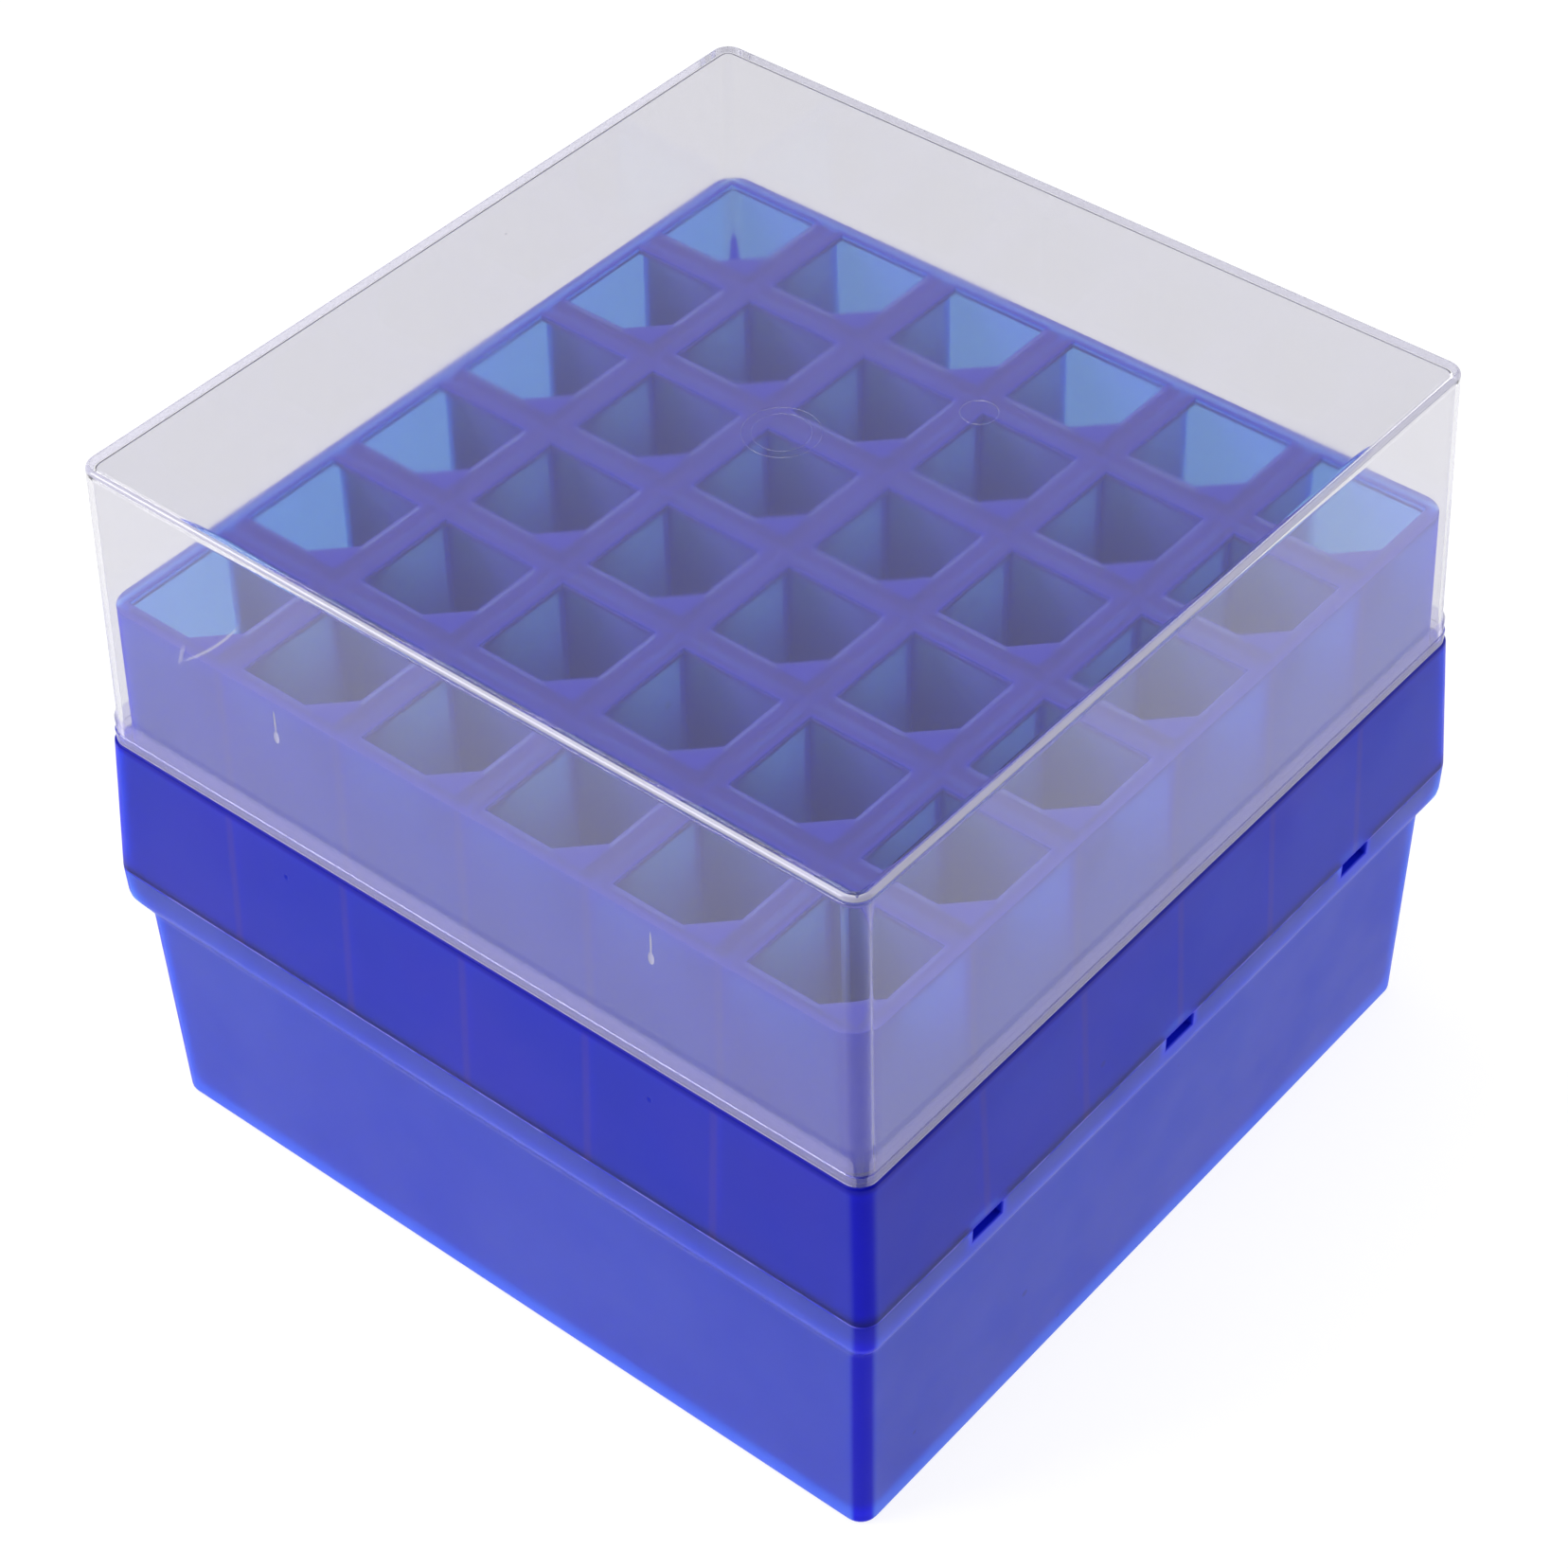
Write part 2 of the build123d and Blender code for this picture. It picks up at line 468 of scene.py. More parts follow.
def add_rib_feet(mould):
    """The ribs' lower faces: every patch of the grid between two ribs' faces."""
    wall = taper(RIB_FOOT, *BAND) - RACK_WALL
    lines = [-wall, *RIB_FACES, wall]
    for i, (x0, x1) in enumerate(zip(lines, lines[1:])):
        for j, (y0, y1) in enumerate(zip(lines, lines[1:])):
            if i % 2 or j % 2:
                corners = ((x0, y0), (x1, y0), (x1, y1), (x0, y1))
                mould.face([(x, y, RIB_FOOT) for x, y in corners])


def add_deck(mould, rim):
    """The deck's upper face: bars, corner webs, and the border out to the collar's rim."""
    for i, (x0, x1) in enumerate(zip(OPENING_EDGES, OPENING_EDGES[1:])):
        for j, (y0, y1) in enumerate(zip(OPENING_EDGES, OPENING_EDGES[1:])):
            beside_cell = [(x0, y0 + CORNER_CUT)] if i % 2 and not j % 2 else []
            under_cell = [(x1 - CORNER_CUT, y1)] if j % 2 and not i % 2 else []
            patch = [(x0, y0), (x1, y0), (x1, y1), *under_cell, (x0, y1), *beside_cell]
            if not i % 2 and not j % 2:
                patch = [(x1 - CORNER_CUT, y0), (x1, y0), (x1, y0 + CORNER_CUT)]
            mould.face([(x, y, DECK) for x, y in patch])
    cuts_along_x = [x + OPENING / 2 - CORNER_CUT for x in CENTRES]
    cuts_along_y = [y - OPENING / 2 + CORNER_CUT for y in CENTRES]
    plain = OPENING_EDGES[::-1]
    edges = (
        [(x, GRID_HALF, DECK) for x in plain],
        [(-GRID_HALF, y, DECK) for y in plain],
        [(x, -GRID_HALF, DECK) for x in sorted(OPENING_EDGES + cuts_along_x)],
        [(GRID_HALF, y, DECK) for y in sorted(OPENING_EDGES + cuts_along_y)],
    )
    for quarter, edge in enumerate(edges):
        corner = rim[quarter][0]
        mould.face([*corner, edge[0]])
        mould.face([corner[-1], rim[(quarter + 1) % 4][0][0], *edge[::-1]])


def make_rack(material):
    """One moulding: tapered band, ledge, collar, deck, ribs, and the spigot that fits in the base."""
    spigot_outer = JOINT_HALF - RIM_WALL - SPIGOT_GAP
    spigot_inner = spigot_outer - SPIGOT_WALL
    shelf = RIB_FOOT - SLOPE
    outside = [
        square(spigot_inner, INNER_CORNER, SPIGOT_FOOT),
        square(spigot_outer, INNER_CORNER, SPIGOT_FOOT),
        square(spigot_outer, INNER_CORNER, JOINT),
        square(JOINT_HALF, CORNER, JOINT),
        *rounded_top(BAND_TOP_HALF, LEDGE, CORNER, LEDGE_ROUNDING),
        square(COLLAR_FOOT_HALF, COLLAR_CORNER, LEDGE),
        square(COLLAR_TOP_HALF, COLLAR_CORNER, DECK),
    ]
    inside = [
        square(taper(RIB_FOOT, *BAND) - RACK_WALL, INNER_CORNER, RIB_FOOT, RIB_FACES),
        square(taper(shelf, *BAND) - RACK_WALL, INNER_CORNER, shelf),
        square(spigot_inner, INNER_CORNER, shelf),
        square(spigot_inner, INNER_CORNER, SPIGOT_FOOT),
    ]
    mould = Mould()
    mould.skin(outside)
    mould.skin(inside)
    add_cells(mould)
    add_rib_feet(mould)
    add_deck(mould, outside[-1])
    rack = mould.piece("rack_moulding", material)
    break_edges(rack)
    wall = taper(BAND_PIP_HEIGHT, *BAND)
    dimples = [
        drop((x, side * (wall + DIMPLE_STANDOFF), BAND_PIP_HEIGHT), BAND_DIMPLE)
        for x in (-PIP_SIDE, PIP_SIDE)
        for side in (-1, 1)
    ]
    carve(rack, dimples)
    flatten_faces(rack)
    return rack


# ---------------------------------------------------------------------------------------------------
# The lid
# ---------------------------------------------------------------------------------------------------

# Faint rings in the roof: place, radius and half thickness. The first two are one double ring.
RINGS = (
    ((2.3, -3.1), 5.6, 0.06),
    ((2.3, -3.1), 4.2, 0.05),
    ((20.8, 17.3), 2.7, 0.05),
)


def lid_wall(z):
    """Half the lid's outer width at height z."""
    return taper(z, (LEDGE, LID_FOOT_HALF), (TOP, LID_TOP_HALF))


def make_lid(material):
    """A deep tapered cover of one wall thickness, with a bead and a step along its lip."""
    roof_under = TOP - LID_ROOF
    inner_corner = CORNER - LID_WALL
    outside = [
        square(BEAD_HALF, CORNER, LEDGE),
        square(BEAD_HALF, CORNER, LEDGE + BEAD),
        square(LIP_HALF, CORNER, LEDGE + BEAD + BEAD_SLOPE),
        square(LIP_HALF, CORNER, LEDGE + LIP),
        square(lid_wall(LEDGE + LIP + LIP_SLOPE), CORNER, LEDGE + LIP + LIP_SLOPE),
        *rounded_top(LID_TOP_HALF, TOP, CORNER, LID_ROUNDING),
    ]
    inner_top = lid_wall(roof_under) - LID_WALL
    inside = [
        *rounded_top(inner_top, roof_under, inner_corner, ROOF_FILLET)[::-1],
        square(LID_FOOT_HALF - LID_WALL, inner_corner, LEDGE),
    ]
    mould = Mould()
    mould.skin(inside + outside)
    mould.cap(inside[0])
    mould.cap(outside[-1])
    lid = mould.piece("lid_cover", material)
    break_edges(lid, BROKEN_EDGE / 2)
    carve(lid, [ring((*place, TOP), radius, thickness) for place, radius, thickness in RINGS])
    for side in (-1, 1):
        for x in (-PIP_SIDE, PIP_SIDE):
            for z, radii in ((LID_PIP_HEIGHT, LID_PIP), (LID_PIP_HEIGHT + TAIL_RISE, LID_PIP_TAIL)):
                carve(lid, [drop((x, side * (lid_wall(z) - LID_WALL), z), radii)], "UNION")
    flatten_faces(lid)
    return lid


# ---------------------------------------------------------------------------------------------------
# Node helpers
# ---------------------------------------------------------------------------------------------------


def linear(code):
    """A colour socket's value for an sRGB hex code."""
    parts = [int(code[i:i + 2], 16) / 255 for i in (0, 2, 4)]
    curve = [part / 12.92 if part <= 0.04045 else ((part + 0.055) / 1.055) ** 2.4 for part in parts]
    return (*curve, 1.0)


class Nodes:
    """A short way to lay out a material's nodes."""

    def __init__(self, name):
        self.material = bpy.data.materials.new(name)
        self.material.use_nodes = True
        self.tree = self.material.node_tree
        self.tree.nodes.clear()
        self.output = self.add("ShaderNodeOutputMaterial")

    def add(self, kind, **settings):
        node = self.tree.nodes.new(kind)
        for key, value in settings.items():
            setattr(node, key, value)
        return node

    def feed(self, socket, value):
        if isinstance(value, bpy.types.NodeSocket):
            self.tree.links.new(value, socket)
        else:
            socket.default_value = value

    def math(self, operation, *values):
        node = self.add("ShaderNodeMath", operation=operation)
        for socket, value in zip(node.inputs, values):
            self.feed(socket, value)
        return node.outputs[0]

    def ramp(self, value, low, high, to_low=0.0, to_high=1.0):
        """Maps low..high smoothly to to_low..to_high."""
        node = self.add("ShaderNodeMapRange", interpolation_type="SMOOTHSTEP")
        for socket, entry in zip(node.inputs, (value, low, high, to_low, to_high)):
            self.feed(socket, entry)
        return node.outputs[0]

    def fade(self, length, low, high, to_low=0.0, to_high=1.0):
        """A ramp over a length in millimetres."""
        return self.ramp(length, low * MM, high * MM, to_low, to_high)

    def above(self, length, limit):
        return self.math("GREATER_THAN", length, limit * MM)

    def below(self, length, limit):
        return self.math("LESS_THAN", length, limit * MM)

    def product(self, first, *others):
        for other in others:
            first = self.math("MULTIPLY", first, other)
        return first

    def largest(self, first, *others):
        for other in others:
            first = self.math("MAXIMUM", first, other)
        return first

    def mix(self, share, first, second):
        node = self.add("ShaderNodeMix", data_type="RGBA")
        self.feed(node.inputs["Factor"], share)
        self.feed(node.inputs[6], first)
        self.feed(node.inputs[7], second)
        return node.outputs[2]

    def noise(self, place, scale, detail=2.0, roughness=0.5):
        node = self.add("ShaderNodeTexNoise")
        self.feed(node.inputs["Vector"], place)
        self.feed(node.inputs["Scale"], scale)
        self.feed(node.inputs["Detail"], detail)
        self.feed(node.inputs["Roughness"], roughness)
        return node.outputs["Fac"]

    def split(self, vector):
        node = self.add("ShaderNodeSeparateXYZ")
        self.feed(node.inputs[0], vector)
        return node.outputs

    def bump(self, height, strength, distance):
        node = self.add("ShaderNodeBump")
        self.feed(node.inputs["Height"], height)
        self.feed(node.inputs["Strength"], strength)
        self.feed(node.inputs["Distance"], distance)
        return node.outputs[0]

    def show(self, shader):
        self.tree.links.new(shader, self.output.inputs["Surface"])
        return self.material


class Place:
    """Where a point lies on the object and how its surface faces there, as sockets. Its distances from
    the middle planes and its facings have no sign."""

    def __init__(self, nodes):
        source = nodes.add("ShaderNodeTexCoord")
        self.position = source.outputs["Object"]
        self.x, self.y, self.z = nodes.split(self.position)[:3]
        self.off_x = nodes.math("ABSOLUTE", self.x)
        self.off_y = nodes.math("ABSOLUTE", self.y)
        self.reach = nodes.largest(self.off_x, self.off_y)
        self.facing_x, self.facing_y, self.facing_z = (
            nodes.math("ABSOLUTE", part) for part in nodes.split(source.outputs["Normal"])[:3]
        )
        sideways = nodes.largest(self.facing_x, self.facing_y)
        self.slanted = nodes.math("MINIMUM", sideways, self.facing_z)


def specks(nodes, place, spacing, size, share):
    """Small round marks, 1 at their middles: a few dots scattered about one per spacing, in mm."""
    cells = nodes.add("ShaderNodeTexVoronoi", feature="F1")
    nodes.feed(cells.inputs["Vector"], place)
    nodes.feed(cells.inputs["Scale"], 1 / (spacing * MM))
    chosen = nodes.split(cells.outputs["Color"])[0]
    dot = nodes.ramp(cells.outputs["Distance"], size / spacing / 2, size / spacing, 1.0, 0.0)
    return nodes.product(dot, nodes.math("LESS_THAN", chosen, share))


# ---------------------------------------------------------------------------------------------------
# Blue plastic: slightly translucent polypropylene with cloudy flow patches and a few dark inclusions.
# It scatters light under its surface, except where it is shut in: there the colour alone shows.
# ---------------------------------------------------------------------------------------------------

# Painted shade: the deep blues at the ends of the next two lines darken the upright corners, the broken
# edges and the rack's spigot.
BASE_BLUE, BASE_CLOUD, BASE_SHADE_BLUE = "3341e6", "3a48ea", "0002cc"
RACK_BLUE, RACK_CLOUD, RACK_SHADE_BLUE = "1b28bc", "252abe", "0002c4"
# Painted shade inside the notches of the base's rim.
NOTCH_SHADE_BLUE = "1222cc"
# Painted shadow cast by the lid's lip onto the rack's band, just under it.
LIP_SHADOW_BLUE = "060890"
# Painted highlight along the base's broken upper edge, where it meets the rack.
RIM_HIGHLIGHT_PALE = "cabcff"
INCLUSION = "25257a"
# Painted shade: the ribs' shadow seen through the walls.
RIB_SHADE_COLOUR = "4a3a96"
DECK_BAR = "5c50a0"
# Painted light inside the cells, turning with depth under the deck.
CELL_LIT_TOP, CELL_LIT_DEPTH = "4846e0", "3834f0"
# Painted back light on the inside of the collar.
COLLAR_BACKLIT = "3a3dee"

CELL_FADE = (16, 1)                 # a cell's colour turns between these depths under the deck
RIB_SHADE_HALF = (0.2, 1.1)          # a painted rib-shade line fades out between these distances from its middle
RIB_SHADE_SHARE = 0.3
BAR_HALF = (0.5, 2.6)               # and a deck bar's redder middle between these
BAR_SHARES = (0.42, 0.34)
BESIDE_OPENING = (1.7, 2.5)         # beyond these the deck is shut in, beside the openings
NOTCH_EDGE = 0.2
NOTCH_COLOUR_SPREAD = 0.5
NOTCH_SHUT_SPREAD = 1.8
SHUT_EDGE = 1.5                     # an edge's neighbourhood
SLANT = (0.1, 0.4)                  # facings between which a surface counts as slanted
BROKEN_SLANT = (0.1, 0.35)
BROKEN_SHARE = 0.6
FLAT = 0.9                          # a facing above this counts as flat

BLUE_IOR = 1.49
BLUE_SPECULAR = 0.1
SCATTER_LENGTH = 10
SCATTER_COLOUR = (1.2, 2.0, 2.4)
TEXTURE_DEPTH = 0.1


def in_notches(nodes, at, spread):
    """1 in the notches of the base's rim, fading to 0 this far around them."""
    half, foot = NOTCH_LENGTH / 2, JOINT - NOTCH_DEPTH
    off_row = nodes.math("PINGPONG", at.off_y, NOTCH_SPACING / 2 * MM)
    in_row = nodes.fade(off_row, half + NOTCH_EDGE, half + spread, 1.0, 0.0)
    under_top = nodes.fade(at.z, JOINT + NOTCH_EDGE, JOINT + spread, 1.0, 0.0)
    over_foot = nodes.fade(at.z, foot - spread, foot - NOTCH_EDGE)
    on_side = nodes.above(at.off_x, JOINT_HALF - 2 * RIM_WALL)
    return nodes.product(under_top, over_foot, in_row, on_side)


def rib_shade_lines(nodes, at):
    """Painted shade: lines on the outside of the walls where the ribs meet them, for the ribs' shadow
    seen through the translucent wall.
    """
    shares = []
    for along, facing in ((at.off_x, at.facing_y), (at.off_y, at.facing_x)):
        off_line = nodes.math("PINGPONG", along, PITCH / 2 * MM)
        line = nodes.fade(off_line, *RIB_SHADE_HALF, RIB_SHADE_SHARE, 0.0)
        inside = nodes.below(along, (CELLS - 1) / 2 * PITCH)
        upright = nodes.math("GREATER_THAN", facing, FLAT)
        shares.append(nodes.product(line, inside, upright))
    return nodes.largest(*shares)


def distance_off_ribs(nodes, at):
    """How far a point is from the middle of the nearest rib, along X or along Y."""
    return nodes.math("MINIMUM", *[
        nodes.math("PINGPONG", along, PITCH / 2 * MM) for along in (at.off_x, at.off_y)
    ])


def deck_bars(nodes, at, off_ribs, on_deck):
    """The deck's bars are a little redder along their middles, over the ribs."""
    line = nodes.fade(off_ribs, *BAR_HALF, *BAR_SHARES)
    inner = nodes.fade(at.reach, GRID_HALF - 2, GRID_HALF + 1, 1.0, 0.8)
    return nodes.product(line, inner, on_deck)


def painted_cell_light(nodes, at, colour):
    """Painted light: the insides of the cells are brighter, and those of the collar round them, back-lit
    through the wall, brighter still.
    """
    under_deck = nodes.below(at.z, DECK - 0.3)
    deep, shallow = CELL_FADE
    depth = nodes.fade(at.z, DECK - deep, DECK - shallow, 1.0, 0.0)
    cell = nodes.mix(depth, linear(CELL_LIT_TOP), linear(CELL_LIT_DEPTH))
    between_cells = nodes.below(at.reach, COLLAR_TOP_HALF - 2 * RACK_WALL)
    colour = nodes.mix(nodes.product(between_cells, under_deck), colour, cell)
    inner_face = nodes.below(at.reach, COLLAR_TOP_HALF - RACK_WALL / 2)
    collar_inside = nodes.math("SUBTRACT", inner_face, between_cells)
    return nodes.mix(nodes.product(collar_inside, under_deck), colour, linear(COLLAR_BACKLIT))


def upright_corners(nodes, at):
    """1 on the outer upright corners, where the light goes through most plastic."""
    across = nodes.math("ADD", at.off_x, at.off_y)
    outermost = nodes.above(across, 2 * (GRID_HALF + 0.4))
    turned = nodes.ramp(nodes.math("MINIMUM", at.facing_x, at.facing_y), *SLANT)
    return nodes.product(turned, outermost)


def cloudy(nodes, at, body, cloud):
    patches = nodes.ramp(nodes.noise(at.position, 28.0, 3.0), 0.35, 0.7)
    return nodes.mix(patches, linear(body), linear(cloud))


def translucent(nodes, at, colour, shut_in):
    """The blue plastic's surface, in this colour and with a faint moulded texture."""
    dark = specks(nodes, at.position, 17.0, 0.8, 0.3)
    colour = nodes.mix(nodes.product(dark, 0.35), colour, linear(INCLUSION))
    skin = nodes.noise(at.position, 900.0, 2.0, 0.6)
    waves = nodes.noise(at.position, 60.0, 2.0)
    height = nodes.math("ADD", nodes.product(skin, 0.25), waves)
    shader = nodes.add("ShaderNodeBsdfPrincipled")
    nodes.feed(shader.inputs["Base Color"], colour)
    nodes.feed(shader.inputs["Roughness"], nodes.ramp(waves, 0.3, 0.7, 0.3, 0.42))
    nodes.feed(shader.inputs["Normal"], nodes.bump(height, 0.12, TEXTURE_DEPTH * MM))
    nodes.feed(shader.inputs["IOR"], BLUE_IOR)
    nodes.feed(shader.inputs["Specular IOR Level"], BLUE_SPECULAR)
    nodes.feed(shader.inputs["Subsurface Weight"], nodes.math("SUBTRACT", 1.0, shut_in))
    nodes.feed(shader.inputs["Subsurface Radius"], SCATTER_COLOUR)
    nodes.feed(shader.inputs["Subsurface Scale"], SCATTER_LENGTH * MM)
    return nodes.show(shader.outputs[0])


def base_plastic():
    """The base's blue, with painted shade deepening its corners, edges and notches, and a painted pale
    highlight in patches along its upper edge.
    """
    nodes = Nodes("blue_base_plastic")
    at = Place(nodes)
    middle = (WAIST + SHOULDER) / 2
    off_middle = nodes.math("ABSOLUTE", nodes.math("SUBTRACT", at.z, middle * MM))
    off_shoulder = nodes.above(off_middle, SHOULDER - middle + SHUT_EDGE)
    sharp = nodes.product(nodes.ramp(at.slanted, *SLANT), off_shoulder)
    broken = nodes.product(nodes.ramp(at.slanted, *BROKEN_SLANT, 0.0, BROKEN_SHARE), off_shoulder)

    colour = cloudy(nodes, at, BASE_BLUE, BASE_CLOUD)
    # Painted shade: deeper blue on the upright corners and the broken edges.
    painted_shade = nodes.largest(upright_corners(nodes, at), broken)
    colour = nodes.mix(painted_shade, colour, linear(BASE_SHADE_BLUE))
    # Painted shade in the notches.
    colour = nodes.mix(in_notches(nodes, at, NOTCH_COLOUR_SPREAD), colour, linear(NOTCH_SHADE_BLUE))
    # Painted highlight: a pale line in patches along the rim's broken upper edge.
    at_rim = nodes.above(at.z, JOINT - 0.5)
    highlight_patches = nodes.ramp(nodes.noise(at.position, 130.0, 3.0), 0.4, 0.6, 0.05, 0.5)
    colour = nodes.mix(nodes.product(at_rim, broken, highlight_patches), colour, linear(RIM_HIGHLIGHT_PALE))

    at_foot = nodes.fade(at.z, ROUNDING, 3 * ROUNDING, 0.7, 0.0)
    shut_in = nodes.largest(sharp, at_foot, in_notches(nodes, at, NOTCH_SHUT_SPREAD))
    return translucent(nodes, at, colour, shut_in)


def rack_shut_in(nodes, at, off_ribs, on_deck, at_edges):
    """Where the rack is shut in: its sharp edges, its rim, and the deck beside the openings."""
    sharp = nodes.product(nodes.ramp(at.slanted, *SLANT), at_edges)
    near_rim = nodes.fade(at.reach, COLLAR_TOP_HALF - 1.4, COLLAR_TOP_HALF - 0.6, 0.0, 0.8)
    rim = nodes.product(near_rim, nodes.fade(at.z, DECK - 1.4, DECK - 0.2))
    beside_opening = nodes.product(nodes.fade(off_ribs, *BESIDE_OPENING, 0.0, 0.9), on_deck)
    return nodes.largest(sharp, rim, beside_opening, in_notches(nodes, at, NOTCH_SHUT_SPREAD))


def rack_plastic():
    """The rack's blue: bars over its ribs, painted shade lines on the walls over the ribs, painted light
    in the cells, and painted shade on its corners, edges, spigot and notches and under the lid's lip.
    """
    nodes = Nodes("blue_rack_plastic")
    at = Place(nodes)
    off_ribs = distance_off_ribs(nodes, at)
    on_deck = nodes.product(nodes.above(at.z, DECK - 0.1), nodes.math("GREATER_THAN", at.facing_z, FLAT))
    at_edges = nodes.largest(nodes.above(at.z, LEDGE - SHUT_EDGE), nodes.below(at.z, JOINT + SHUT_EDGE))
    under_deck_edge = nodes.math("SUBTRACT", at_edges, nodes.above(at.z, DECK - 2))
    broken = nodes.product(nodes.ramp(at.slanted, *BROKEN_SLANT, 0.0, BROKEN_SHARE), under_deck_edge)
    # Painted shadow: this mask marks the band just under the lid's lip, where its shadow is painted.
    ledge = nodes.product(nodes.fade(at.z, LEDGE - 1.6, LEDGE - 0.4), nodes.below(at.z, LEDGE + 0.2))
    # Painted shade on the spigot, down inside the base.
    spigot = nodes.product(nodes.below(at.z, JOINT - 0.1), 0.7)

    colour = cloudy(nodes, at, RACK_BLUE, RACK_CLOUD)
    # Painted shade of the ribs seen through the walls.
    colour = nodes.mix(rib_shade_lines(nodes, at), colour, linear(RIB_SHADE_COLOUR))
    colour = nodes.mix(deck_bars(nodes, at, off_ribs, on_deck), colour, linear(DECK_BAR))
    # Painted light in the cells and on the back-lit inside of the collar.
    colour = painted_cell_light(nodes, at, colour)
    # Painted shade: deeper blue on the upright corners, the broken edges, the spigot and under the lid's
    # lip.
    painted_shade = nodes.largest(upright_corners(nodes, at), broken, ledge, spigot)
    colour = nodes.mix(painted_shade, colour, linear(RACK_SHADE_BLUE))
    # Painted shadow under the lid's lip.
    colour = nodes.mix(ledge, colour, linear(LIP_SHADOW_BLUE))
    # Painted shade round the notches, where the band's foot meets them.
    colour = nodes.mix(in_notches(nodes, at, NOTCH_COLOUR_SPREAD), colour, linear(NOTCH_SHADE_BLUE))
    return translucent(nodes, at, colour, rack_shut_in(nodes, at, off_ribs, on_deck, at_edges))


# ---------------------------------------------------------------------------------------------------
# Clear plastic
# ---------------------------------------------------------------------------------------------------

CLEAR = (0.83, 0.825, 0.85, 1.0)
RUBBED = (0.43, 0.42, 0.52, 1.0)
LIP_LILAC = (0.6, 0.57, 0.86, 1.0)
PIP_WHITE = (0.85, 0.83, 0.9, 1.0)
GUIDED_GLOW = (0.74, 0.73, 0.82, 1.0)
PASSING_LIGHT = (0.92, 0.92, 0.935, 1.0)
CLEAR_IOR = 1.5
HAZE = 0.016                        # the share of the clear walls that is matt
GUIDED_AFTER = 3.5                  # rays that have bounced more often than this count as guided
PIP_ZONE = (1, 5)                   # half the width and height of the zone round a pip and its tail
PIP_ZONE_RISE = 2
PIP_SHARE = 0.5
SCRATCH_HALF = (0.05, 0.3)
SCRATCH_SHARE = 0.22
RUBBED_TOP, RUBBED_FOOT = 0.75, 0.6
CLOUDY_LIP = 0.22

# The front wall's long scratch and its hooked end: arcs by centre (x, z), radius and span along X
SCRATCHES = (
    ((-89.7, 149.1), 63.5, (-52.4, -37.5)),
    ((4.9, 79.1), 60.0, (-52.4, -50.6)),
)


def pip_marks(nodes, at):
    """The pips inside the lid are matt. Only they stand inward of its tapered inner wall."""
    slope = (lid_wall(LEDGE) - lid_wall(TOP)) / (TOP - LEDGE)
    wall_at_zero = lid_wall(LEDGE) + slope * LEDGE - LID_WALL
    straightened = nodes.math("ADD", at.reach, nodes.product(at.z, slope))
    inward = nodes.below(straightened, wall_at_zero - 0.03)
    off_pip = nodes.math("ABSOLUTE", nodes.math("SUBTRACT", at.off_x, PIP_SIDE * MM))
    off_height = nodes.math("SUBTRACT", at.z, (LID_PIP_HEIGHT + PIP_ZONE_RISE) * MM)
    near_x = nodes.below(off_pip, PIP_ZONE[0])
    near_z = nodes.below(nodes.math("ABSOLUTE", off_height), PIP_ZONE[1])
    return nodes.product(near_x, near_z, inward, PIP_SHARE)


def scratches(nodes, at):
    """Fine arcs in the lid's front wall, fading at their ends."""
    front = nodes.product(nodes.math("GREATER_THAN", at.facing_y, FLAT), nodes.below(at.y, 0.0))
    shares = []
    for (centre_x, centre_z), radius, (low, high) in SCRATCHES:
        distance = nodes.add("ShaderNodeVectorMath", operation="DISTANCE")
        nodes.feed(distance.inputs[0], at.position)
        nodes.feed(distance.inputs[1], Vector((centre_x, -lid_wall(centre_z), centre_z)) * MM)
        off_line = nodes.math("SUBTRACT", distance.outputs["Value"], radius * MM)
        line = nodes.fade(nodes.math("ABSOLUTE", off_line), *SCRATCH_HALF, SCRATCH_SHARE, 0.0)
        end = (high - low) / 3
        after = nodes.fade(at.x, low, low + end)
        before = nodes.fade(at.x, high - end, high, 1.0, 0.0)
        shares.append(nodes.product(line, after, before))
    return nodes.product(nodes.largest(*shares), front)


def rubbed_edges(nodes, at):
    """The rounding along the lid's top and the very foot of its lip are rubbed matt."""
    at_top = nodes.above(at.z, TOP - LID_ROUNDING - 0.05)
    at_side = nodes.above(at.reach, LID_TOP_HALF - LID_ROUNDING - 0.3)
    rounding = nodes.product(nodes.ramp(at.slanted, 0.06, 0.3, 0.0, RUBBED_TOP), at_side, at_top)
    outward = nodes.above(at.reach, BEAD_HALF - 0.2)
    foot = nodes.product(nodes.fade(at.z, LEDGE + 0.1, LEDGE + 0.4, RUBBED_FOOT, 0.0), outward)
    return nodes.largest(rounding, foot)


def cloudy_lip(nodes, at):
    """The outside of the lip is slightly cloudy."""
    lip = nodes.fade(at.z, LEDGE + LIP, LEDGE + LIP + LIP_SLOPE, CLOUDY_LIP, 0.0)
    return nodes.product(lip, nodes.above(at.reach, LID_FOOT_HALF - 0.15))


